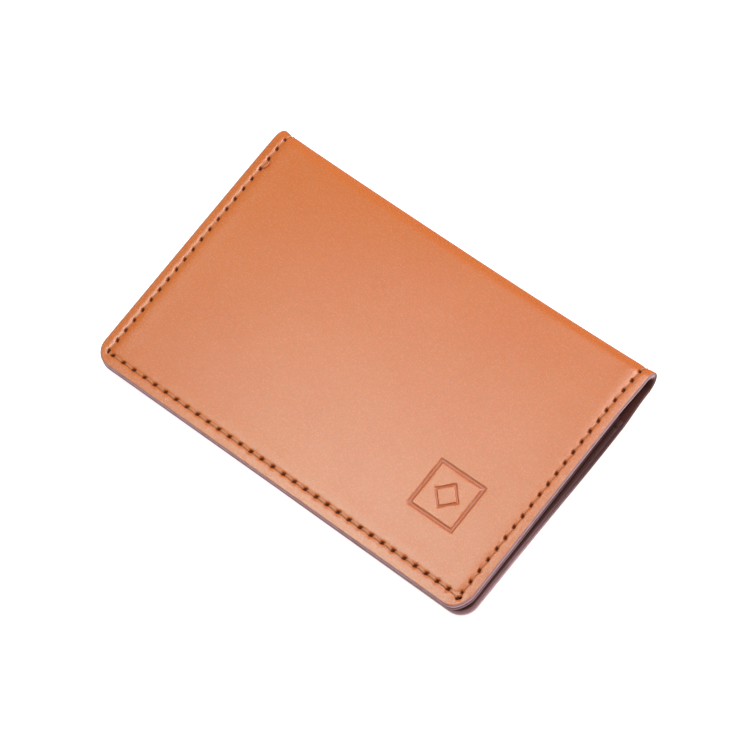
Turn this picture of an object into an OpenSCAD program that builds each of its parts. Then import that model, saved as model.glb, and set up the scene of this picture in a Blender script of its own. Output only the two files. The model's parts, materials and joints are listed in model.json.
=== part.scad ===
// Bifold leather card holder, lying closed on its back half.
// X runs along the fold, Y from the free edge towards the fold, Z up.
// The origin is at the middle of the underside.

/* [Overall] */
// Length along the fold, from short side to short side
holder_w = 106; // [96:1:120]
// Depth from the free edge to the outside of the fold
holder_d = 68.5; // [64:0.5:78]
// Thickness across the fold
fold_t = 7.2; // [6.8:0.1:8.4]
// Gap between the two halves at the free edge
edge_gap = 0.4; // [0.3:0.1:0.8]

/* [Leather] */
// Thickness of the outer cover
cover_t = 1.2; // [1:0.1:1.3]
// Thickness of the lining
lining_t = 0.3; // [0.2:0.1:0.4]
// Thickness of the inner pocket panels
pocket_t = 1.2; // [1:0.1:1.3]
// Radius of the two corners at the free edge
corner_r = 4.5; // [3.5:0.5:8]
// Distance from the outside of the fold to the mouth of each pocket
mouth_drop = 12.5; // [10:0.5:18]

/* [Stitching] */
// Distance from the edge of the leather to the stitch line
seam_inset = 2.6; // [2.2:0.1:3.2]
// Distance from one stitch to the next
stitch_pitch = 3.15; // [2.8:0.05:4]
// Length of the thread seen in one stitch
stitch_l = 2.1; // [1.6:0.1:2.4]
// Thickness of the thread
thread_d = 0.56; // [0.4:0.02:0.6]
// Width of the pressed groove that the stitches lie in
groove_w = 1; // [0.8:0.1:1.2]

/* [Stamp] */
// Side of the blind-stamped square on the front
stamp_side = 12.8; // [9:0.2:16]
// Distance from the stamp's centre to the short side and to the free edge
stamp_inset = 19.2; // [14:0.2:26]
// Width of the stamped band
stamp_band = 0.9; // [0.6:0.1:2]
// Depth of the stamped lines
stamp_depth = 0.25; // [0.15:0.05:0.4]

/* [Hidden] */

$fn = 48;
TAN = [0.87, 0.57, 0.43];
DARK = [0.27, 0.14, 0.13];
THREAD = [0.88, 0.66, 0.5];

over = 1;                              // how far a cutter runs past what it cuts
fold_r = fold_t / 2;                   // outside radius of the fold
mid_r = fold_r - cover_t / 2;          // radius of the middle of the cover leather
panel_d = holder_d - fold_r;           // flat part of each half, free edge to hinge line
hinge_y = holder_d / 2 - fold_r;
half_t = cover_t + lining_t + pocket_t;
closing_drop = fold_t - 2 * half_t - edge_gap;
closing_tilt = atan(closing_drop / panel_d);
pocket_d = holder_d - mouth_drop;      // pocket panel, free edge to mouth
groove_depth = thread_d + 0.14;
thread_sink = groove_depth / 2 + 0.03; // depth of the thread's centre below the leather
nose_r = cover_t / 2;                  // rounded end of the leather on each hinge line
panel_socket_r = nose_r + 0.15;        // hollow that a nose turns in, 45 degrees of travel
mid_socket_r = nose_r + 0.35;          // the same at the middle of the spine, 90 degrees
lining_socket_r = nose_r + lining_t + 0.1;
seam_x = holder_w / 2 - seam_inset;
seam_y = seam_inset - panel_d;
diamond_side = 5;
diamond_line = 0.6;
spine_stitches = [30, 65];             // angles of the spine stitches from its middle
spine_stitch_l = 1.5;
lining_stitch_l = 0.7;

// A rod along X with its axis through [0, 0, 0].
module x_rod(length, r) {
    rotate([0, 90, 0])
        cylinder(h = length, r = r, center = true);
}

// Outline of one half, drawn in by inset on three sides. The hinge line is at y = 0.
module half_outline(inset) {
    r = corner_r - inset;
    w = holder_w - 2 * inset;
    d = panel_d - inset;
    translate([-w / 2, -d + r])
        square([w, d - r]);
    translate([-w / 2 + r, -d])
        square([w - 2 * r, r]);
    for (side = [-1, 1])
        translate([side * (w / 2 - r), -d + r])
            circle(r);
}

// Strip of the outline that the stitches lie in.
module groove_outline() {
    difference() {
        half_outline(seam_inset - groove_w / 2);
        half_outline(seam_inset + groove_w / 2);
    }
}

// One stitch lying on its side, its length along X.
module stitch(length) {
    x_rod(length, thread_d / 2);
}

// Evenly spaced stitches on a straight line.
module stitch_run(from, to, length) {
    reach = to - from;
    count = max(1, floor(norm(reach) / stitch_pitch));
    for (i = [0 : count - 1])
        translate(from + reach * (i + 0.5) / count)
            rotate([0, 0, atan2(reach.y, reach.x)])
                stitch(length);
}

// Stitches along both short sides at height z, from y = low to y = high.
module side_stitches(low, high, z) {
    for (side = [-1, 1])
        stitch_run([side * seam_x, low, z], [side * seam_x, high, z], stitch_l);
}

// Stitches along the free edge and round its two corners at height z.
module edge_stitches(z) {
    turn_r = corner_r - seam_inset;
    corner_x = holder_w / 2 - corner_r;
    stitch_run([-corner_x, seam_y, z], [corner_x, seam_y, z], stitch_l);
    for (side = [-1, 1])
        translate([side * corner_x, corner_r - panel_d, z])
            rotate([0, 0, side * 45])
                translate([0, -turn_r, 0])
                    stitch(turn_r);
}

// Each half is drawn with its hinge axis through [0, 0, 0], its outside facing down.
module place_back() {
    translate([0, hinge_y, cover_t / 2])
        children();
}

module place_front() {
    translate([0, hinge_y, fold_t - cover_t / 2])
        rotate([closing_tilt, 0, 0])
            mirror([0, 0, 1])
                children();
}

module half_cover() {
    difference() {
        union() {
            translate([0, 0, -cover_t / 2])
                linear_extrude(cover_t)
                    half_outline(0);
            x_rod(holder_w, nose_r);
        }
        translate([0, 0, -cover_t / 2 - over])
            linear_extrude(groove_depth + over)
                groove_outline();
        for (side = [-1, 1])
            translate([side * seam_x, 0, -cover_t])
                cube([groove_w, 2 * cover_t, 2 * groove_depth], center = true);
    }
}

module half_lining() {
    translate([0, 0, cover_t / 2])
        linear_extrude(lining_t)
            half_outline(0);
}

module half_pocket() {
    mouth_y = pocket_d - panel_d;
    difference() {
        translate([0, 0, cover_t / 2 + lining_t])
            linear_extrude(pocket_t)
                half_outline(0);
        translate([0, mouth_y + holder_d / 2, 0])
            cube([holder_w + over, holder_d, holder_d], center = true);
        translate([0, 0, half_t - cover_t / 2 - groove_depth])
            linear_extrude(groove_depth + over)
                groove_outline();
    }
}

module half_thread() {
    mouth_y = pocket_d - panel_d;
    outside_z = thread_sink - cover_t / 2;
    pocket_z = half_t - cover_t / 2 - thread_sink;
    lining_z = cover_t / 2 + lining_t + thread_d / 2;
    color(THREAD) {
        side_stitches(corner_r - panel_d, -nose_r, outside_z);
        edge_stitches(outside_z);
        side_stitches(corner_r - panel_d, mouth_y, pocket_z);
        edge_stitches(pocket_z);
        side_stitches(mouth_y + thread_d, -nose_r, lining_z);
    }
}

// A plain square band with a small diamond outline in its middle.
module stamp_outline() {
    difference() {
        square(stamp_side, center = true);
        square(stamp_side - 2 * stamp_band, center = true);
    }
    rotate([0, 0, 45])
        difference() {
            square(diamond_side, center = true);
            square(diamond_side - 2 * diamond_line, center = true);
        }
}

// The quarter of the fold below the middle (side = -1) or above it (side = 1).
module fold_quarter(side, outer_r, inner_r) {
    intersection() {
        difference() {
            x_rod(holder_w, outer_r);
            x_rod(holder_w + over, inner_r);
        }
        translate([0, fold_r, side * fold_r])
            cube([holder_w + 2 * over, fold_t, fold_t], center = true);
    }
}

module place_fold() {
    translate([0, hinge_y, fold_r])
        children();
}

// Grooves for the stitches that cross the fold near each short side.
module fold_grooves() {
    for (side = [-1, 1])
        translate([side * seam_x, 0, 0])
            difference() {
                x_rod(groove_w, fold_r + over);
                x_rod(groove_w + over, fold_r - groove_depth);
            }
}

module fold_stitches(side) {
    inner_r = fold_r - cover_t - lining_t;
    outside_at = fold_r - thread_sink - 0.07;
    inside_at = inner_r - thread_d / 2 - 0.07;
    color(THREAD)
        for (end = [-1, 1], angle = spine_stitches)
            translate([end * seam_x, 0, 0])
                rotate([side * angle, 0, 0]) {
                    translate([0, outside_at, 0])
                        rotate([0, 90, 0])
                            stitch(spine_stitch_l);
                    translate([0, inside_at, 0])
                        rotate([0, 90, 0])
                            stitch(lining_stitch_l);
                }
}

module back_cover() {
    color(TAN)
        place_back()
            half_cover();
}

module back_lining() {
    color(DARK)
        place_back()
            half_lining();
}

module back_pocket() {
    color(DARK)
        place_back()
            half_pocket();
}

module back_thread() {
    place_back()
        half_thread();
}

module lower_spine_cover() {
    color(TAN)
        place_fold()
            difference() {
                union() {
                    fold_quarter(-1, fold_r, fold_r - cover_t);
                    translate([0, mid_r, 0])
                        x_rod(holder_w, nose_r);
                }
                translate([0, 0, -mid_r])
                    x_rod(holder_w + over, panel_socket_r);
                fold_grooves();
            }
}

module lower_spine_lining() {
    color(DARK)
        place_fold()
            difference() {
                fold_quarter(-1, fold_r - cover_t, fold_r - cover_t - lining_t);
                translate([0, 0, -mid_r])
                    x_rod(holder_w + over, lining_socket_r);
            }
}

module lower_spine_thread() {
    place_fold()
        fold_stitches(-1);
}

module upper_spine_cover() {
    color(TAN)
        place_fold()
            difference() {
                fold_quarter(1, fold_r, fold_r - cover_t);
                translate([0, mid_r, 0])
                    x_rod(holder_w + over, mid_socket_r);
                translate([0, 0, mid_r])
                    x_rod(holder_w + over, panel_socket_r);
                fold_grooves();
            }
}

module upper_spine_lining() {
    color(DARK)
        place_fold()
            difference() {
                fold_quarter(1, fold_r - cover_t, fold_r - cover_t - lining_t);
                translate([0, mid_r, 0])
                    x_rod(holder_w + over, lining_socket_r);
                translate([0, 0, mid_r])
                    x_rod(holder_w + over, lining_socket_r);
            }
}

module upper_spine_thread() {
    place_fold()
        fold_stitches(1);
}

module front_cover() {
    color(TAN)
        place_front()
            difference() {
                half_cover();
                translate([holder_w / 2 - stamp_inset, stamp_inset - panel_d, -cover_t / 2 - over])
                    linear_extrude(stamp_depth + over)
                        stamp_outline();
            }
}

module front_lining() {
    color(DARK)
        place_front()
            half_lining();
}

module front_pocket() {
    color(DARK)
        place_front()
            half_pocket();
}

module front_thread() {
    place_front()
        half_thread();
}

back_cover();
back_lining();
back_pocket();
back_thread();
lower_spine_cover();
lower_spine_lining();
lower_spine_thread();
upper_spine_cover();
upper_spine_lining();
upper_spine_thread();
front_cover();
front_lining();
front_pocket();
front_thread();
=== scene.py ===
"""Looks of a closed bifold card holder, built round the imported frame.

Lengths are in millimetres while a surface is worked out, and in metres once it is a mesh.
Each half of the holder is drawn flat: u runs along the fold, and v from the free edge
towards the fold and on round it. place() then folds a flat point into its place.
"""
import json
import math
import random

import bmesh
import bpy
import numpy as np
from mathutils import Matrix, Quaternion, Vector
from mathutils.geometry import delaunay_2d_cdt


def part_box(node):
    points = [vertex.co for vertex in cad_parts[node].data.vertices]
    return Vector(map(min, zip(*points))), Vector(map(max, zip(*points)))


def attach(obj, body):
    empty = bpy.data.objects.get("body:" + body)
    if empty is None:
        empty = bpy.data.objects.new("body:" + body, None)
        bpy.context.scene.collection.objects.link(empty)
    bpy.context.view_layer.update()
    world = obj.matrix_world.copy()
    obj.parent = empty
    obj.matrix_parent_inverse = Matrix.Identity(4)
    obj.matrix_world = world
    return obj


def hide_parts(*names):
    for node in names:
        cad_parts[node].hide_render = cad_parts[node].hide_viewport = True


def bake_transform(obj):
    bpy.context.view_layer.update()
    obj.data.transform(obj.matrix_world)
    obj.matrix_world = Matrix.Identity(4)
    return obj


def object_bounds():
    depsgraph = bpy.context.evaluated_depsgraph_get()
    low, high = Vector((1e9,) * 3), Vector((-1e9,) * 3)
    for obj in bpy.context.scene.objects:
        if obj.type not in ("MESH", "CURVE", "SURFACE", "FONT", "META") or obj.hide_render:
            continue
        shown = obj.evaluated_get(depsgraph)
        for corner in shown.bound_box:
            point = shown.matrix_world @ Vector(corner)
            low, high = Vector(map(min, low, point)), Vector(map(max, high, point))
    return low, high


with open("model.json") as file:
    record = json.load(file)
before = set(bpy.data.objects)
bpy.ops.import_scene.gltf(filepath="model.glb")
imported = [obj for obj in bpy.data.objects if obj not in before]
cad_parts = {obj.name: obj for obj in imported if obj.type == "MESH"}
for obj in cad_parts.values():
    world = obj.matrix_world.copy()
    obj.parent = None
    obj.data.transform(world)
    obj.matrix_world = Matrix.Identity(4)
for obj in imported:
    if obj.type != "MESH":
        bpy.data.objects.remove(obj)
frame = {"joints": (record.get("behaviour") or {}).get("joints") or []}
cad_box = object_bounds()

# ---------------------------------------------------------------- sizes, from the frame
MM = 0.001
BACK, FRONT = -1, 1
joints = {j["name"]: j for j in frame["joints"]}


def node_size(node):
    low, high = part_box(node)
    return (high - low) / MM


HALF_W = (cad_box[1].x - cad_box[0].x) / 2 / MM
FREE_Y = cad_box[0].y / MM
FOLD_T = (cad_box[1].z - cad_box[0].z) / MM
FOLD_R = FOLD_T / 2
HINGE_Y = joints["back_fold"]["pos_m"][1] / MM
COVER_T = 2 * joints["back_fold"]["pos_m"][2] / MM
LINING_T = node_size("back_lining").z
POCKET_T = node_size("back_pocket").z
POCKET_D = node_size("back_pocket").y
POCKET_SEAM = POCKET_D - 1             # v up to which a pocket panel is sewn in
PANEL_D = HINGE_Y - FREE_Y
LINING_AT = COVER_T                    # depth of each layer below the outside
POCKET_AT = COVER_T + LINING_T
INSIDE_AT = POCKET_AT + POCKET_T
CLOSING_TILT = math.radians(
    joints["front_fold"]["range_deg"][1] - joints["back_fold"]["range_deg"][1])
CLOSING_DROP = PANEL_D * math.tan(CLOSING_TILT)
QUARTER = math.pi * FOLD_R / 2         # outside of the fold, hinge line to its middle
SPLIT_LOW = PANEL_D + QUARTER / 2      # where the back's leather meets the spine's
SPLIT_HIGH = PANEL_D + 3 * QUARTER / 2
UNFOLDED = 2 * (PANEL_D + QUARTER)

# ---------------------------------------------------------------- sizes seen on the real one
CORNER_R = 4.5
EDGE_R = 0.38                          # rounding of the cover's outer edge
SEAM_INSET = 2.55
SEAM_U = HALF_W - SEAM_INSET
LEFT_FIRST_HOLE, LEFT_STITCHES = 2.9, 45       # v of the first hole, stitches over the fold
RIGHT_FIRST_HOLE, RIGHT_STITCHES = 3.4, 45
RIGHT_BUNCHING = 0.0055                # stitches get shorter towards the fold on the right
EDGE_FROM, EDGE_TO = 4.1 - HALF_W, HALF_W - 2.4    # u of the outer holes of the free edge
EDGE_STITCHES = 32
HOLE_L, HOLE_W, HOLE_D = 1.5, 0.66, 0.95
HOLE_SLANT = math.radians(14)
HOLE_SIDES = 12
THREAD_R = 0.21
THREAD_SIDES = 10
TWIST_LENGTH = 2.6
TACK_STEPS = 16
TACK_V, TACK_BOW, TACK_LIFT = 61, 0.95, 0.3    # the loose stitch, below v on the left side
FOLD_FLARE = 0.2                       # how far the fold's ends stand out, past the seam

STAMP_U, STAMP_V = HALF_W - 19.3, 19.2
STAMP_SIDE, STAMP_BAND, STAMP_D = 12.8, 0.9, 0.28
DIAMOND_SIDE, DIAMOND_LINE = 5.0, 0.6
STAMP_WALL = 0.16                      # how wide the slope is between face and floor

# distances from the outline of the lines of points beside the seam
LINE_OFFSETS = (0.6, 1.1, 1.6, 1.95, 2.2, 2.4, 2.7, 2.9, 3.15, 3.55, 4.3, 5.4)
GRID = 1.5                             # between points away from the seam
FOLD_GRID = 0.45                       # between rows of points on the fold
SPLIT_GAP = 0.12                       # from a split line to the row of points beside it


# ---------------------------------------------------------------- camera
def make_camera():
    """A long lens, above and to the right of the free edge."""
    azimuth, elevation, roll = (math.radians(a) for a in (56.06, 64.3, -19.16))
    distance = 0.92556
    target = Vector((0.002915, -0.001747, 0.0065))
    back = Vector((
        math.sin(azimuth) * math.cos(elevation),
        -math.cos(azimuth) * math.cos(elevation),
        math.sin(elevation),
    ))
    data = bpy.data.cameras.new("camera")
    data.sensor_width = 36
    data.lens = 201.67
    camera = bpy.data.objects.new("camera", data)
    camera.rotation_mode = "QUATERNION"
    camera.location = target + back * distance
    camera.rotation_quaternion = (-back).to_track_quat("-Z", "Y") @ Quaternion((0, 0, 1), roll)
    bpy.context.scene.collection.objects.link(camera)
    bpy.context.scene.camera = camera


# ---------------------------------------------------------------- folding a flat point
def smooth(x):
    x = np.clip(x, 0, 1)
    return x * x * (3 - 2 * x)


def hump(x, centre, width):
    return np.exp(-(((x - centre) / width) ** 2))


def front_drop(a):
    """How far the front half has come down, a millimetres from its hinge line."""
    ease = 14
    slope = CLOSING_DROP / (PANEL_D - ease / 2)
    return np.where(a < ease, slope * a * a / (2 * ease), slope * (a - ease / 2))


def place(side, u, v, depth):
    """The place of flat points, depth millimetres below the outside of the leather."""
    u, v, depth = (np.asarray(x, float) for x in (u, v, depth))
    a = np.maximum(PANEL_D - v, 0)
    turn = np.maximum(v - PANEL_D, 0) / FOLD_R
    y = HINGE_Y - a + (FOLD_R - depth) * np.sin(turn)
    z = FOLD_R - (FOLD_R - depth) * np.cos(turn)
    if side == FRONT:
        z = FOLD_T - z - front_drop(a)
    # the rest is the slight unevenness of the real one: a bowed fold, its flared ends, a back
    # half turned a little and a front half that reaches further at its right free corner
    w = u / HALF_W
    y = y + (0.6 * w ** 2 + 0.07 * w - 0.13) * smooth(1 - a / 30)
    y = y + FOLD_FLARE * smooth((np.abs(u) - SEAM_U) / SEAM_INSET) * smooth(1 - a / 3)
    right_end = smooth(2 * w - 1) * smooth(a / 10)
    if side == BACK:
        y = y + (0.2 - 0.65 * w) * smooth(a / PANEL_D)
        x = u + right_end * (0.3 + 0.3 * hump(v, 0.72 * PANEL_D, 18))
    else:
        y = y - (0.05 + 0.4 * (1 + w)) * smooth(1 - v / 3.2)
        x = u - right_end * 0.3
    return np.stack([x, y, z], axis=-1) * MM


# ---------------------------------------------------------------- outline and seam
def edge_distance(u, v):
    """How far a flat point is inside the outline of its half, which is open at the fold."""
    u, v = np.abs(u), np.asarray(v, float)
    corner_u = HALF_W - CORNER_R
    rounded = CORNER_R - np.hypot(u - corner_u, CORNER_R - v)
    straight = np.minimum(HALF_W - u, v)
    return np.where((u > corner_u) & (v < CORNER_R), rounded, straight)


def straight_run(start, end, normal, step, last=False):
    """Points with normals from start towards end; the end itself only if it is the last."""
    start, end = np.array(start, float), np.array(end, float)
    n = max(1, round(np.linalg.norm(end - start) / step))
    return [(*(start + (end - start) * i / n), *normal) for i in range(n + last)]


def round_run(centre, r, from_angle, n=12):
    """Points with normals of a quarter turn, without its end."""
    points = []
    for i in range(n):
        t = math.radians(from_angle + 90 * i / n)
        c, s = math.cos(t), math.sin(t)
        points.append((centre[0] + r * c, centre[1] + r * s, c, s))
    return points


def three_sides(inset, v_end, step, last=True):
    """Down the left side, along the free edge and up the right side, inset from the outline."""
    w, r = HALF_W - inset, max(CORNER_R - inset, 0.3)
    low = inset + r
    return [
        *straight_run((-w, v_end), (-w, low), (-1, 0), step),
        *round_run((-w + r, low), r, 180),
        *straight_run((-w + r, inset), (w - r, inset), (0, -1), step),
        *round_run((w - r, low), r, 270),
        *straight_run((w, low), (w, v_end), (1, 0), step, last),
    ]


def grid_us():
    """u of the columns of the even grid."""
    reach = HALF_W - LINE_OFFSETS[-1]
    return np.linspace(-reach, reach, round(2 * reach / GRID) + 1)


def split_us():
    """u of the points on the line where two pieces of leather meet."""
    sides = [HALF_W - d for d in LINE_OFFSETS[:-1]]
    return [*[-s for s in sides], *grid_us(), *reversed(sides)]


def half_loop(inset, step=0.6):
    """Outline of a half, with a normal of 0 where it is open at the split."""
    split = [(u, SPLIT_LOW, 0, 0) for u in reversed(split_us())]
    return [*three_sides(inset, SPLIT_LOW, step), *split]


def spine_loop(inset, step=0.6):
    """Outline of the leather of the spine, open on both its long sides."""
    w = HALF_W - inset
    return [
        *[(u, SPLIT_LOW, 0, 0) for u in split_us()],
        *straight_run((w, SPLIT_LOW), (w, SPLIT_HIGH), (1, 0), step, True),
        *[(u, SPLIT_HIGH, 0, 0) for u in reversed(split_us())],
        *straight_run((-w, SPLIT_HIGH), (-w, SPLIT_LOW), (-1, 0), step, True),
    ]


def pocket_loop(inset, step=0.6):
    """Outline of a pocket panel, which has small round corners at its mouth."""
    w, r = HALF_W - inset, 0.5
    top = POCKET_D - inset
    return [
        *three_sides(inset, top - r, step, last=False),
        *round_run((w - r, top - r), r, 0, 4),
        *straight_run((w - r, top), (-w + r, top), (0, 1), step),
        *round_run((-w + r, top - r), r, 90, 4),
    ]


def seam_holes(v_low, v_high):
    """(u, v, direction) of each stitch hole in order, from the left side to the right."""
    left = np.linspace(LEFT_FIRST_HOLE, UNFOLDED - LEFT_FIRST_HOLE, LEFT_STITCHES + 1)
    t = np.linspace(0, 1, RIGHT_STITCHES + 1)
    t += RIGHT_BUNCHING * np.sin(2 * math.pi * t)
    right = RIGHT_FIRST_HOLE + (UNFOLDED - 2 * RIGHT_FIRST_HOLE) * t
    holes = [(-SEAM_U, v, -math.pi / 2) for v in left[::-1] if v_low <= v <= v_high]
    if v_low < SEAM_INSET:
        edge = np.linspace(EDGE_FROM, EDGE_TO, EDGE_STITCHES + 1)
        holes += [(u, SEAM_INSET, 0) for u in edge[:-1]]
        holes.append((EDGE_TO, SEAM_INSET - 0.3, 0.35))    # turned where the row rounds the corner
    return holes + [(SEAM_U, v, math.pi / 2) for v in right if v_low <= v <= v_high]


def hole_norm(u, v, hole):
    """Distance from a hole's centre, 1 at its rim."""
    t = hole[2] + HOLE_SLANT
    du, dv = u - hole[0], v - hole[1]
    along = du * math.cos(t) + dv * math.sin(t)
    across = dv * math.cos(t) - du * math.sin(t)
    return np.hypot(along / (HOLE_L / 2), across / (HOLE_W / 2))


def hole_points(hole):
    """The middle of a stitch hole, and rings of points in it and round it."""
    t = hole[2] + HOLE_SLANT
    c, s = math.cos(t), math.sin(t)
    points = [(hole[0], hole[1])]
    for ring in (0.5, 0.78, 1.0, 1.3):
        for i in range(HOLE_SIDES):
            a = 2 * math.pi * i / HOLE_SIDES
            x, y = ring * HOLE_L / 2 * math.cos(a), ring * HOLE_W / 2 * math.sin(a)
            points.append((hole[0] + x * c - y * s, hole[1] + x * s + y * c))
    return points


# ---------------------------------------------------------------- relief of the leather
def sway(u, s, seed):
    """Slow unevenness of a hide, about -1 to 1."""
    rng = random.Random(seed)
    total = 0
    for wave in (60, 38, 24):
        a, phase = rng.uniform(0, math.pi), rng.uniform(0, 2 * math.pi)
        across = u * math.cos(a) + s * math.sin(a)
        total = total + np.sin(across * 2 * math.pi / wave + phase) * wave / 120
    return total


def stitch_relief(height, u, v, holes):
    """Sinks height round each hole, and says how deep in a hole each point is."""
    pit = np.zeros_like(u)
    for hole in holes:
        near = np.hypot(u - hole[0], v - hole[1]) < 2
        if near.any():
            n = hole_norm(u[near], v[near], hole)
            height[near] -= 0.1 * hump(n, 0, 1.9) + HOLE_D * smooth((1 - n) / 0.5)
            pit[near] = np.maximum(pit[near], smooth((1.12 - n) / 0.4))
    return pit


def stamp_relief(u, v):
    """0 off the stamped lines, 1 on their floor."""
    ru, rv = np.abs(u - STAMP_U), np.abs(v - STAMP_V)
    rise = STAMP_SIDE / 2 - np.maximum(ru, rv)
    band = smooth(rise / STAMP_WALL) * smooth((STAMP_BAND - rise) / STAMP_WALL)
    rise = DIAMOND_SIDE / 2 - (ru + rv) / math.sqrt(2)
    line = smooth(rise / STAMP_WALL) * smooth((DIAMOND_LINE - rise) / STAMP_WALL)
    return np.maximum(band, line)


def tack_holes():
    """The two holes that the loose stitch runs between."""
    return [hole for hole in seam_holes(0, UNFOLDED) if hole[0] < 0 and hole[1] < TACK_V][:2]


def tack_arc(t):
    """u of the loose stitch, at share t of its length."""
    return -SEAM_U + TACK_BOW * 4 * t * (1 - t)


def tack_line(u, v):
    """1 along the line that the loose stitch presses into the leather, which is also darkened as its
    painted shadow.
    """
    high, low = (hole[1] for hole in tack_holes())
    t = (v - low) / (high - low)
    return np.where((t > 0.02) & (t < 0.98), hump(u, tack_arc(t) + 0.12, 0.3), 0)


def tack_points():
    """Points across the loose stitch's pressed line, which also carries its painted shadow, all along
    it.
    """
    high, low = (hole[1] for hole in tack_holes())
    points = []
    for t in np.linspace(0.06, 0.94, TACK_STEPS):
        points += [(tack_arc(t) + d, low + (high - low) * t) for d in (-0.12, 0.12, 0.36, 0.6)]
    return points


def cover_relief(side, u, v):
    """Height of the outside over its even surface, with its pits and pressed lines; the loose stitch's
    line is also its painted shadow.
    """
    fold_v = np.minimum(v, UNFOLDED - v)
    hide_v = v if side == BACK else UNFOLDED - v
    e = edge_distance(u, fold_v) - SEAM_INSET
    on_fold = smooth((fold_v - PANEL_D) / QUARTER)
    height = 0.07 * hump(e, 2.0, 1.4) * (1 - on_fold) - 0.14 * hump(e, 0, 0.42)
    height += 0.05 * sway(u, hide_v, 3) * smooth(e / 8)
    height -= 0.12 * hump(e, 0, 0.6) * on_fold + 0.14 * smooth(-e / SEAM_INSET) * (1 - on_fold)
    if side == BACK:                   # pressed flat where it rests
        height -= 0.7 * np.maximum(height, 0) * smooth((PANEL_D - v) / 8)
    pit = stitch_relief(height, u, v, seam_holes(0, UNFOLDED))
    press_and_shadow = np.zeros_like(u)
    if side == FRONT:
        press_and_shadow = stamp_relief(u, v)
        height -= STAMP_D * press_and_shadow + 0.05 * smooth((8.5 - np.hypot(u - STAMP_U, v - STAMP_V)) / 5)
        # the loose stitch's pressed line, darkened with the pressed lines as its painted shadow
        tack = tack_line(u, v)
        height -= 0.1 * tack
        press_and_shadow = np.maximum(press_and_shadow, tack)
    return height, pit, press_and_shadow


def pocket_relief(side, u, v):
    """Height of a pocket panel's open face, which has a creased line along its mouth."""
    e = edge_distance(u, v) - SEAM_INSET
    height = 0.04 * hump(e, 2.0, 1.2) - 0.15 * hump(e, 0, 0.42)
    crease = POCKET_D - v - 2.2
    press_and_shadow = hump(crease, 0, 0.22)
    height += 0.03 * hump(crease, 1.1, 0.7) - 0.12 * press_and_shadow
    pit = stitch_relief(height, u, v, seam_holes(0, POCKET_SEAM))
    return height, pit, press_and_shadow


def lining_relief(side, u, v):
    """Height of the suede's open face, with the stitch holes that no pocket covers."""
    height = 0.02 * sway(u * 3, v * 3, 5)
    pit = stitch_relief(height, u, v, seam_holes(POCKET_SEAM, UNFOLDED))
    return np.maximum(height, -LINING_T * 0.8), pit, np.zeros_like(u)


def no_relief(side, u, v):
    return np.zeros_like(u), np.zeros_like(u), np.zeros_like(u)


# ---------------------------------------------------------------- points of the flat pieces
def fine_points(v_low, v_high, holes, margin=0.05, split_rows=(), extra=()):
    """Points of a face that shows: lines beside the seam, an even grid and rings round holes."""
    points = []
    for d in LINE_OFFSETS:
        step = 0.45 if 2 < d < 3.5 else 0.7
        points += [p[:2] for p in three_sides(d, v_high, step)]
    flat_rows = np.arange(LINE_OFFSETS[-1] + GRID, min(v_high, PANEL_D - 1), GRID)
    fold_rows = np.arange(PANEL_D - 1 + FOLD_GRID, v_high, FOLD_GRID)
    points += [(u, v) for v in (*flat_rows, *fold_rows) for u in grid_us()[1:-1]]
    points += [(u, v) for v in split_rows for u in split_us()]
    points = np.array([p for p in [*points, *extra] if v_low + margin < p[1] < v_high - margin])
    keep = np.ones(len(points), bool)
    for hole in holes:
        keep &= hole_norm(points[:, 0], points[:, 1], hole) > 1.55
    return [*map(tuple, points[keep]), *[p for hole in holes for p in hole_points(hole)]]


def half_points(holes):
    return fine_points(0, SPLIT_LOW, holes, split_rows=[SPLIT_LOW - SPLIT_GAP])


def spine_points():
    holes = seam_holes(SPLIT_LOW, SPLIT_HIGH)
    rows = (SPLIT_LOW + SPLIT_GAP, SPLIT_HIGH - SPLIT_GAP)
    return fine_points(SPLIT_LOW, SPLIT_HIGH, holes, split_rows=rows)


def stamp_points():
    """Points along both edges of each stamped line."""
    points = []
    outer = STAMP_SIDE / 2
    inner = outer - STAMP_BAND
    steps = (0.75, 0.35, 0.14, 0, -STAMP_WALL / 2, -STAMP_WALL, -STAMP_WALL - 0.14)
    for half in [outer + s for s in steps] + [inner - s for s in steps]:
        n = round(2 * half / 0.45)
        for i in range(n):
            s = -half + 2 * half * i / n
            points += [(s, -half), (half, s), (-s, half), (-half, -s)]
    outer = DIAMOND_SIDE / 2
    inner = outer - DIAMOND_LINE
    for half in [outer + s for s in steps[:6]] + [inner - s for s in steps[:6]]:
        reach, n = half * math.sqrt(2), 12
        for i in range(n):
            s = reach * i / n
            points += [(reach - s, s), (-s, reach - s), (s - reach, -s), (s, s - reach)]
    field = np.arange(-4.4, 4.5, 0.8)
    between = [(x, y) for x in field for y in field if not 1.2 < abs(x) + abs(y) < 4.9]
    return [(STAMP_U + x, STAMP_V + y) for x, y in points + between]


def front_points():
    """Points of the front's outside, where the stamp has its own points in place of the grid."""
    reach = STAMP_SIDE / 2 + 0.8
    even = [p for p in half_points(seam_holes(0, SPLIT_LOW))
            if max(abs(p[0] - STAMP_U), abs(p[1] - STAMP_V)) > reach]
    return [*even, *stamp_points(), *tack_points()]


def pocket_points():
    """Points of a pocket's open face, with rows along the crease near its mouth."""
    rows = (0.7, 1.2, 1.6, 1.95, 2.2, 2.45, 2.8, 3.3, 4.0)
    crease = [(u, POCKET_D - d) for d in rows for u in split_us()]
    return fine_points(0, POCKET_D, seam_holes(0, POCKET_SEAM), margin=0.5, extra=crease)


def coarse_points(v_low, v_high):
    """Points of a face that another piece hides."""
    us = np.linspace(4 - HALF_W, HALF_W - 4, 24)
    vs = (*np.arange(4, PANEL_D - 2, 4), *np.arange(PANEL_D - 1, v_high, 0.7))
    return [(u, v) for u in us for v in vs if v_low + 0.3 < v < v_high - 0.3]


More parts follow.
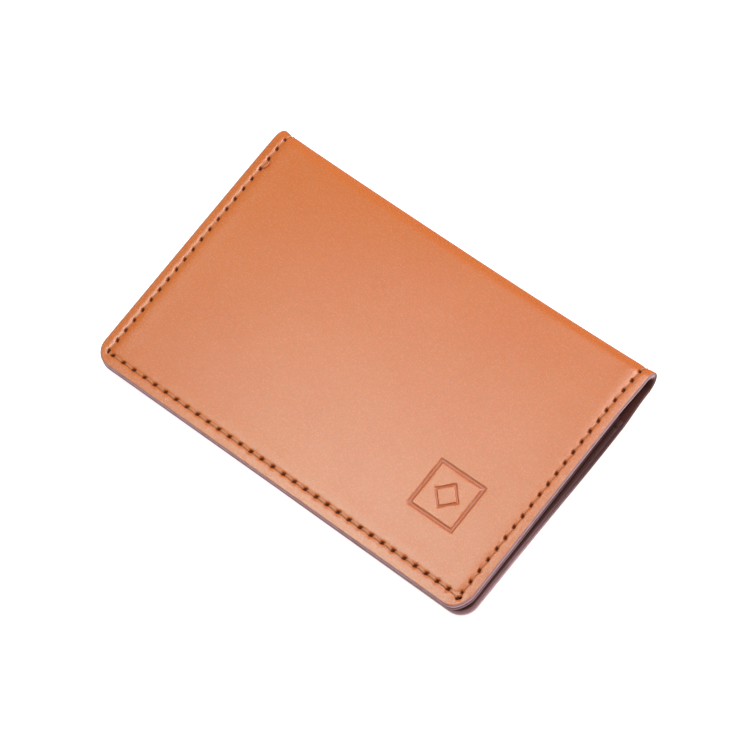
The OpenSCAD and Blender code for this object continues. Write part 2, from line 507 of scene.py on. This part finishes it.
# ---------------------------------------------------------------- meshes
class Surface:
    """Collects the vertices, faces, material numbers and point values of one mesh."""

    def __init__(self, side):
        self.side = side
        self.co, self.faces, self.slots = [], [], []
        self.values = {"flat": [], "pit": [], "press_and_shadow": [], "rim": []}

    def add(self, u, v, depth, pit=0.0, press_and_shadow=0.0, rim=0.0):
        """Adds flat points, and returns their numbers."""
        first, n = len(self.co), len(u)
        self.co += [tuple(p) for p in place(self.side, u, v, depth)]
        hide_v = v if self.side == BACK else UNFOLDED - v
        self.values["flat"] += [tuple(p) for p in np.stack([u, hide_v, depth + np.zeros(n)], axis=-1)]
        for name, value in (("pit", pit), ("press_and_shadow", press_and_shadow), ("rim", rim)):
            self.values[name] += list(np.broadcast_to(value, (n,)))
        return list(range(first, first + n))

    def face(self, corners, slot, turned=False):
        """A face whose corners run round it as seen from above the front half."""
        corners = tuple(corners)
        if turned != (self.side == BACK):
            corners = corners[::-1]
        self.faces.append(corners)
        self.slots.append(slot)

    def build(self, name, materials):
        mesh = bpy.data.meshes.new(name)
        mesh.from_pydata(self.co, [], self.faces)
        for material in materials:
            mesh.materials.append(material)
        mesh.polygons.foreach_set("material_index", self.slots)
        mesh.polygons.foreach_set("use_smooth", [True] * len(self.faces))
        flat = mesh.attributes.new("flat", "FLOAT_VECTOR", "POINT")
        flat.data.foreach_set("vector", np.array(self.values["flat"], np.float32).ravel())
        for key in ("pit", "press_and_shadow", "rim"):
            attribute = mesh.attributes.new(key, "FLOAT", "POINT")
            attribute.data.foreach_set("value", np.array(self.values[key], np.float32))
        bm = bmesh.new()
        bm.from_mesh(mesh)
        bmesh.ops.delete(bm, geom=[p for p in bm.verts if not p.link_faces], context="VERTS")
        bm.to_mesh(mesh)
        bm.free()
        piece = bpy.data.objects.new(name, mesh)
        bpy.context.scene.collection.objects.link(piece)
        return piece


def triangulate(loop, inner):
    """Triangles of a flat region: loop is its closed outline, inner the points in it."""
    n = len(loop)
    points = [Vector(p) for p in [*loop, *inner]]
    edges = [(i, (i + 1) % n) for i in range(n)]
    verts, _, faces, origin, _, _ = delaunay_2d_cdt(points, edges, [], 1, 1e-4)
    where = {source: i for i, sources in enumerate(origin) for source in sources}
    return np.array([tuple(p) for p in verts]), faces, [where[i] for i in range(n)]


def edge_profile(thickness, upper_r, lower_r):
    """(outwards, depth) of each row down a rounded edge, from the end of the upper face."""
    turns = [math.pi / 2 * i / 4 for i in range(1, 5)]
    upper = [(upper_r * math.sin(t), upper_r * (1 - math.cos(t))) for t in turns]
    start = upper_r - lower_r
    lower = [(start + lower_r * math.sin(t), thickness - lower_r * (1 - math.cos(t)))
             for t in (0, *turns)][::-1]
    return upper + lower


def slab(name, side, loop, at, thickness, faces, edge, materials):
    """A layer of leather from depth at. faces is (points, relief) of the face towards the
    outside, then of the one towards the inside. materials go outside, edge, inside."""
    surface = Surface(side)
    loop = np.array(loop)
    base, normal = loop[:, :2], loop[:, 2:]
    profile = edge_profile(thickness, *edge)
    outlines = (base, base + normal * profile[-1][0])
    depths = (at, at + thickness)

    rings, heights = [], []
    for outline, depth, (points, relief), slot in zip(outlines, depths, faces, (0, 2)):
        flat, triangles, ring = triangulate(outline, points)
        u, v = flat[:, 0], flat[:, 1]
        height, pit, press_and_shadow = relief(side, u, v)
        margin = smooth(1 - edge_distance(u, np.minimum(v, UNFOLDED - v)) / 0.8)
        inwards = slot == 2
        numbers = surface.add(u, v, depth + (height if inwards else -height), pit, press_and_shadow, margin)
        for t in triangles:
            surface.face([numbers[i] for i in t], slot, turned=inwards)
        rings.append([numbers[i] for i in ring])
        heights.append(height[ring])

    is_edge = np.abs(normal).sum(axis=1) > 0
    row = rings[0]
    for step, (out, depth) in enumerate(profile):
        share = depth / thickness      # how far down the edge, 0 to 1
        slot = 0 if step < 1 else 1    # the start of the rounding belongs to the face
        if step == len(profile) - 1:
            new = rings[1]
        else:
            p = base + normal * out
            lift = heights[1] * share - heights[0] * (1 - share)
            new = surface.add(p[:, 0], p[:, 1], at + depth + lift, rim=1 + share)
        for i in range(len(loop)):
            j = (i + 1) % len(loop)
            if is_edge[i] and is_edge[j]:
                surface.face([row[i], new[i], new[j], row[j]], slot)
        row = new
    return surface.build(name, materials)


# ---------------------------------------------------------------- thread
def stitch_path(start, end, face_at, sign, steps=16, bow=0, lift=0):
    """(u, v, depth, dive) along one stitch that dives into the holes at its ends."""
    start, end = np.array(start[:2]), np.array(end[:2])
    length = np.linalg.norm(end - start)
    along = (end - start) / length
    across = np.array([-along[1], along[0]])
    reach = min(0.8, length * 0.45)
    path = []
    for i in range(steps + 1):
        t = i / steps
        dive = float(smooth((reach - length * min(t, 1 - t)) / (reach * 0.7)))
        arch = 4 * t * (1 - t)
        p = start + (end - start) * t + across * (0.13 * (1 - 2 * t) + bow * arch)
        path.append((*p, face_at + sign * (0.09 + 0.62 * dive - lift * arch), dive))
    return path


def add_thread(surface, path, rng):
    """A two-ply thread along a flat path, as one closed twisted tube."""
    points = np.array([(u, v, -depth) for u, v, depth, _ in path])
    twist = rng.uniform(0, math.pi)
    rows = []
    for i, p in enumerate(points):
        ahead = points[min(i + 1, len(points) - 1)] - points[max(i - 1, 0)]
        ahead /= np.linalg.norm(ahead)
        right = np.cross(ahead, (0, 0, 1))
        right /= np.linalg.norm(right)
        up = np.cross(right, ahead)
        if i:
            twist += np.linalg.norm(points[i] - points[i - 1]) * 2 * math.pi / TWIST_LENGTH
        ring = []
        for k in range(THREAD_SIDES):
            a = 2 * math.pi * k / THREAD_SIDES
            r = THREAD_R * (0.8 + 0.2 * abs(math.cos(a - twist)))
            ring.append(p + r * (right * math.cos(a) + up * math.sin(a)))
        ring = np.array(ring)
        rows.append(surface.add(ring[:, 0], ring[:, 1], -ring[:, 2], pit=path[i][3]))
    for a, b in zip(rows, rows[1:]):
        for k in range(THREAD_SIDES):
            m = (k + 1) % THREAD_SIDES
            surface.face([a[k], b[k], b[m], a[m]], 0)
    surface.face(rows[0], 0)
    surface.face(rows[-1], 0, turned=True)


def seam(name, side, v_low, v_high, material):
    """The stitches whose middle lies between v_low and v_high, outside and inside."""
    rng = random.Random(11)
    surface = Surface(side)
    holes = seam_holes(0, UNFOLDED)
    for start, end in zip(holes, holes[1:]):
        middle = (start[1] + end[1]) / 2
        if not v_low <= middle <= v_high:
            continue
        add_thread(surface, stitch_path(start, end, 0, 1), rng)
        if abs(middle - POCKET_D) > 1.6:
            inner = INSIDE_AT if middle < POCKET_D else POCKET_AT + 0.05
            add_thread(surface, stitch_path(end, start, inner, -1), rng)
    if side == FRONT:
        add_thread(surface, stitch_path(*tack_holes(), 0, 1, bow=TACK_BOW, lift=TACK_LIFT), rng)
    return surface.build(name, [material])


# ---------------------------------------------------------------- materials
def linear(r, g, b):
    """A screen colour of 0 to 255 as the linear colour that shaders take."""
    def channel(x):
        x /= 255
        return x / 12.92 if x < 0.04045 else ((x + 0.055) / 1.055) ** 2.4
    return (channel(r), channel(g), channel(b), 1)


class Shader:
    """A node material that starts from a Principled shader."""

    def __init__(self, name, **constants):
        self.material = bpy.data.materials.new(name)
        self.material.use_nodes = True
        self.tree = self.material.node_tree
        self.surface = self.tree.nodes["Principled BSDF"]
        for key, value in constants.items():
            self.surface.inputs[key.replace("_", " ")].default_value = value

    def node(self, kind, inputs=None, **settings):
        made = self.tree.nodes.new("ShaderNode" + kind)
        for key, value in settings.items():
            setattr(made, key, value)
        for key, value in (inputs or {}).items():
            self.feed(made.inputs[key], value)
        return made

    def feed(self, socket, value):
        if isinstance(value, bpy.types.NodeSocket):
            self.tree.links.new(value, socket)
        else:
            socket.default_value = value

    def value(self, name):
        return self.node("Attribute", attribute_name=name).outputs["Fac"]

    def flat(self):
        return self.node("Attribute", attribute_name="flat").outputs["Vector"]

    def math(self, operation, a, b=0.0):
        return self.node("Math", {0: a, 1: b}, operation=operation).outputs[0]

    def remap(self, value, low, high, to_low=0.0, to_high=1.0):
        inputs = {
            "Value": value, "From Min": low, "From Max": high, "To Min": to_low, "To Max": to_high,
        }
        return self.node("MapRange", inputs, interpolation_type="SMOOTHSTEP").outputs[0]

    def mix(self, share, a, b):
        return self.node("Mix", {0: share, 6: a, 7: b}, data_type="RGBA").outputs[2]

    def noise(self, scale, detail=3.0, roughness=0.5):
        inputs = {"Vector": self.flat(), "Scale": scale, "Detail": detail, "Roughness": roughness}
        return self.node("TexNoise", inputs).outputs["Fac"]

    def cells(self, scale, feature):
        inputs = {"Vector": self.flat(), "Scale": scale}
        return self.node("TexVoronoi", inputs, feature=feature).outputs["Distance"]

    def bump(self, height, strength, distance, before=None):
        made = self.node("Bump", {"Height": height, "Strength": strength, "Distance": distance})
        if before is not None:
            self.feed(made.inputs["Normal"], before)
        return made.outputs["Normal"]

    def finish(self, colour, roughness, normal):
        self.feed(self.surface.inputs["Base Color"], colour)
        self.feed(self.surface.inputs["Roughness"], roughness)
        self.feed(self.surface.inputs["Normal"], normal)
        return self.material


def grained_leather(name, body, patch, pore, deep, worn, burnt_and_shadow, roughness, gloss):
    """Smooth vegetable-tanned leather: patchy colour, fine grain, pores, painted shade in the stitch
    holes and a painted shadow beside the loose stitch.
    """
    s = Shader(name, IOR=1.62)
    colour = s.mix(s.remap(s.noise(0.035, 4.0), 0.35, 0.68), body, patch)
    speckle = s.remap(s.noise(2.6, 4.0, 0.7), 0.36, 0.7)
    colour = s.mix(s.math("MULTIPLY", speckle, 0.6), colour, pore)
    pores = s.remap(s.cells(1.9, "F1"), 0.05, 0.2, 1.0, 0.0)
    colour = s.mix(s.math("MULTIPLY", pores, 0.16), colour, pore)
    colour = s.mix(s.math("MULTIPLY", s.value("rim"), 0.45), colour, worn)
    # darker on the pressed lines: burnished on the stamp, a painted shadow along the loose stitch
    colour = s.mix(s.math("MULTIPLY", s.value("press_and_shadow"), 0.7), colour, burnt_and_shadow)
    # painted shade: darker towards the bottom of each stitch hole
    colour = s.mix(s.value("pit"), colour, deep)
    rough = s.remap(s.noise(2.4, 4.0), 0.3, 0.7, roughness - 0.03, roughness + 0.04)
    rough = s.math("ADD", rough, s.math("MULTIPLY", s.value("press_and_shadow"), 0.08))
    wrinkle = s.bump(s.cells(1.5, "DISTANCE_TO_EDGE"), 0.2, 0.0001)
    grain = s.bump(s.noise(2.8, 4.0, 0.65), 0.55, 0.0001, wrinkle)
    shine = s.math("MULTIPLY", s.math("SUBTRACT", 1.0, s.value("pit")), gloss)
    s.feed(s.surface.inputs["Specular IOR Level"], shine)
    return s.finish(colour, rough, grain)


def painted_edge(name, upper, lower, wear_and_shade, shaded_to):
    """Burnished edge: faint layers along it, lighter low down, rubbed dark in places. Near the
    fold, on the part of the hide below the last argument, it is darkened as painted shade."""
    s = Shader(name)
    # lighter low down; on the cover the light lower colour is a painted highlight on the lower lip
    colour = s.mix(s.remap(s.value("rim"), 1.2, 1.8), upper, lower)
    hide_y = s.node("SeparateXYZ", {0: s.flat()}).outputs["Y"]
    from_fold = s.math("ABSOLUTE", s.math("SUBTRACT", hide_y, UNFOLDED / 2), 0.0)
    near_fold = s.remap(from_fold, 18, 62, 1.0, 0.0)
    part = s.remap(hide_y, shaded_to - 1.5, shaded_to + 1.5, 1.0, 0.0)
    # painted shade: darker near the fold
    colour = s.mix(s.math("MULTIPLY", near_fold, part), colour, wear_and_shade)
    rubbed = s.remap(s.noise(0.5, 5.0, 0.6), 0.45, 0.75)
    colour = s.mix(s.math("MULTIPLY", rubbed, 0.35), colour, wear_and_shade)
    fibres = s.noise(2.5, 5.0, 0.7)
    return s.finish(colour, s.remap(fibres, 0.3, 0.7, 0.42, 0.58), s.bump(fibres, 0.35, 0.00008))


def suede(name, body, light):
    """Short nap with a soft sheen, brushed lighter and darker in patches."""
    s = Shader(name, Sheen_Weight=0.35, Sheen_Roughness=0.4, Specular_IOR_Level=0.25)
    nap = s.noise(5.5, 4.0, 0.7)
    brushed = s.remap(s.noise(0.12, 4.0), 0.35, 0.65)
    colour = s.mix(s.math("MULTIPLY", brushed, 0.5), body, light)
    colour = s.mix(s.math("MULTIPLY", nap, 0.35), colour, light)
    # painted shade in the stitch holes
    colour = s.mix(s.value("pit"), colour, linear(40, 20, 18))
    return s.finish(colour, s.remap(nap, 0.3, 0.7, 0.82, 0.95), s.bump(nap, 0.6, 0.0001))


def waxed_thread(name, body, shade):
    """Waxed polyester, with fine fibres, darkened as painted shade where it dives into a hole."""
    s = Shader(name, Specular_IOR_Level=0.4, Sheen_Weight=0.15)
    fibres = s.noise(9.0, 3.0, 0.6)
    colour = s.mix(s.math("MULTIPLY", fibres, 0.5), body, shade)
    # painted shade where the thread dives into a hole
    colour = s.mix(s.remap(s.value("pit"), 0.1, 0.7), colour, linear(92, 22, 8))
    return s.finish(colour, s.remap(fibres, 0.3, 0.7, 0.5, 0.65), s.bump(fibres, 0.5, 0.00005))


def make_materials():
    # in each leather the darkest colour is the painted shade inside the stitch holes
    tan = grained_leather(
        "tan_leather", body=linear(239, 125, 52), patch=linear(241, 131, 59), pore=linear(214, 94, 34),
        deep=linear(92, 14, 4), worn=linear(232, 150, 104), burnt_and_shadow=linear(190, 84, 52),
        roughness=0.25, gloss=0.85,
    )
    dark = grained_leather(
        "dark_leather", body=linear(96, 52, 44), patch=linear(108, 60, 50), pore=linear(70, 36, 32),
        deep=linear(30, 14, 12), worn=linear(120, 76, 66), burnt_and_shadow=linear(60, 30, 26),
        roughness=0.5, gloss=0.3,
    )
    return {
        "tan": tan,
        "dark": dark,
        # each edge's darkest colour is a painted shade near the fold, and real rubbed wear in patches
        "cover_edge": painted_edge(
            # the light lower colour here is a painted highlight along the edge's lower lip
            "cover_edge", upper=linear(196, 142, 146), lower=linear(234, 200, 206),
            wear_and_shade=linear(128, 88, 82), shaded_to=UNFOLDED / 2 + 1,
        ),
        "pocket_edge": painted_edge(
            "pocket_edge", upper=linear(168, 122, 128), lower=linear(160, 112, 118),
            wear_and_shade=linear(84, 34, 42), shaded_to=UNFOLDED + 5,
        ),
        "lining_edge": painted_edge(
            "lining_edge", upper=linear(204, 170, 174), lower=linear(196, 160, 164),
            wear_and_shade=linear(84, 46, 46), shaded_to=UNFOLDED / 2 + 1,
        ),
        "suede": suede("suede", linear(108, 62, 58), linear(124, 76, 70)),
        "thread": waxed_thread("waxed_thread", linear(226, 150, 104), linear(206, 124, 80)),
    }


def bend_back(piece):
    """Bakes the piece's transform into its mesh."""
    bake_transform(piece)


def bend_spine(piece):
    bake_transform(piece)


def bend_front(piece):
    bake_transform(piece)


def make_cover(m):
    """The outer hide: back, spine and front."""
    mats = [m["tan"], m["cover_edge"], m["dark"]]
    edge = (EDGE_R, 0.2)
    hidden = (coarse_points(0, SPLIT_LOW), no_relief)
    back_face = (half_points(seam_holes(0, SPLIT_LOW)), cover_relief)
    outline = half_loop(EDGE_R)
    back = slab("back_leather", BACK, outline, 0, COVER_T, (back_face, hidden), edge, mats)
    front_face = (front_points(), cover_relief)
    front = slab("front_leather", FRONT, outline, 0, COVER_T, (front_face, hidden), edge, mats)
    spine_faces = ((spine_points(), cover_relief), (coarse_points(SPLIT_LOW, SPLIT_HIGH), no_relief))
    spine = slab("spine_leather", BACK, spine_loop(EDGE_R), 0, COVER_T, spine_faces, edge, mats)
    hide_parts("back_cover")
    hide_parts("lower_spine_cover", "upper_spine_cover")
    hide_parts("front_cover")
    return back, spine, front


def make_lining(m):
    """The suede inside the cover: back, spine and front."""
    mats = [m["suede"], m["lining_edge"], m["suede"]]
    edge = (0.05, 0.05)
    inset = 0.2
    hidden = (coarse_points(0, SPLIT_LOW), no_relief)
    shown = (half_points(seam_holes(POCKET_SEAM, SPLIT_LOW)), lining_relief)
    outline, layer = half_loop(inset), (LINING_AT, LINING_T)
    back = slab("back_suede", BACK, outline, *layer, (hidden, shown), edge, mats)
    front = slab("front_suede", FRONT, outline, *layer, (hidden, shown), edge, mats)
    spine_faces = ((coarse_points(SPLIT_LOW, SPLIT_HIGH), no_relief), (spine_points(), lining_relief))
    spine = slab("spine_suede", BACK, spine_loop(inset), *layer, spine_faces, edge, mats)
    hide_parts("back_lining")
    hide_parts("lower_spine_lining", "upper_spine_lining")
    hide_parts("front_lining")
    return back, spine, front


def make_pocket(m, name, side, node, body):
    mats = [m["dark"], m["pocket_edge"], m["dark"]]
    hidden = (coarse_points(0, POCKET_SEAM), no_relief)
    shown = (pocket_points(), pocket_relief)
    edge = (0.12, 0.28)
    pocket = slab(name, side, pocket_loop(edge[0]), POCKET_AT, POCKET_T, (hidden, shown), edge, mats)
    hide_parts(node)
    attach(pocket, body)


def make_seam(m):
    """The stitches of the back, the spine and the front."""
    thread = m["thread"]
    back = seam("back_stitches", BACK, 0, SPLIT_LOW, thread)
    spine = seam("spine_stitches", BACK, SPLIT_LOW, SPLIT_HIGH, thread)
    front = seam("front_stitches", FRONT, 0, SPLIT_LOW, thread)
    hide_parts("back_thread")
    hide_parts("lower_spine_thread", "upper_spine_thread")
    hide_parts("front_thread")
    return back, spine, front


def make_holder():
    m = make_materials()
    for make, slot in ((make_cover, "cover_leather"), (make_lining, "lining"), (make_seam, "thread")):
        back, spine, front = make(m)
        bend_back(back)
        bend_spine(spine)
        bend_front(front)
    make_pocket(m, "back_pocket_panel", BACK, "back_pocket", "back_half")
    make_pocket(m, "front_pocket_panel", FRONT, "front_pocket", "front_half")


# ---------------------------------------------------------------- studio
FLOOR_REACH, FLOOR_Z = 3, -0.0002      # metres
COOL, WARM = (0.75, 1.0, 0.94), (1.0, 0.97, 0.95)


def make_floor():
    mesh = bpy.data.meshes.new("floor")
    signs = ((-1, -1), (1, -1), (1, 1), (-1, 1))
    corners = [(x * FLOOR_REACH, y * FLOOR_REACH, 0) for x, y in signs]
    mesh.from_pydata(corners, [], [(0, 1, 2, 3)])
    s = Shader(
        "floor_paper", Base_Color=(0.9, 0.9, 0.9, 1), Roughness=0.9, Specular_IOR_Level=0.1,
        Emission_Color=(1, 1, 1, 1), Emission_Strength=0.8,
    )
    mesh.materials.append(s.material)
    floor = bpy.data.objects.new("floor", mesh)
    floor.location.z = FLOOR_Z
    floor.visible_glossy = False
    bpy.context.scene.collection.objects.link(floor)


def make_softbox(name, location, aim, size, power, colour):
    data = bpy.data.lights.new(name, "AREA")
    data.shape = "RECTANGLE"
    data.size, data.size_y = size
    data.energy = power
    data.color = colour
    light = bpy.data.objects.new(name, data)
    light.location = location
    light.rotation_mode = "QUATERNION"
    light.rotation_quaternion = (Vector(aim) - light.location).to_track_quat("-Z", "Y")
    bpy.context.scene.collection.objects.link(light)


def make_studio():
    make_floor()
    world = bpy.data.worlds.new("studio")
    world.use_nodes = True
    background = world.node_tree.nodes["Background"]
    background.inputs["Color"].default_value = (1, 1, 1, 1)
    background.inputs["Strength"].default_value = 0.16
    scene = bpy.context.scene
    scene.world = world
    scene.view_settings.view_transform = "Standard"
    make_softbox("key", (-0.064, -0.024, 0.257), (0, -0.02, 0), (0.15, 0.1), 0.235, COOL)
    make_softbox("fill", (0.12, 0.34, 0.55), (0, 0, 0), (0.4, 0.4), 2.5, WARM)


make_camera()
make_holder()
make_studio()
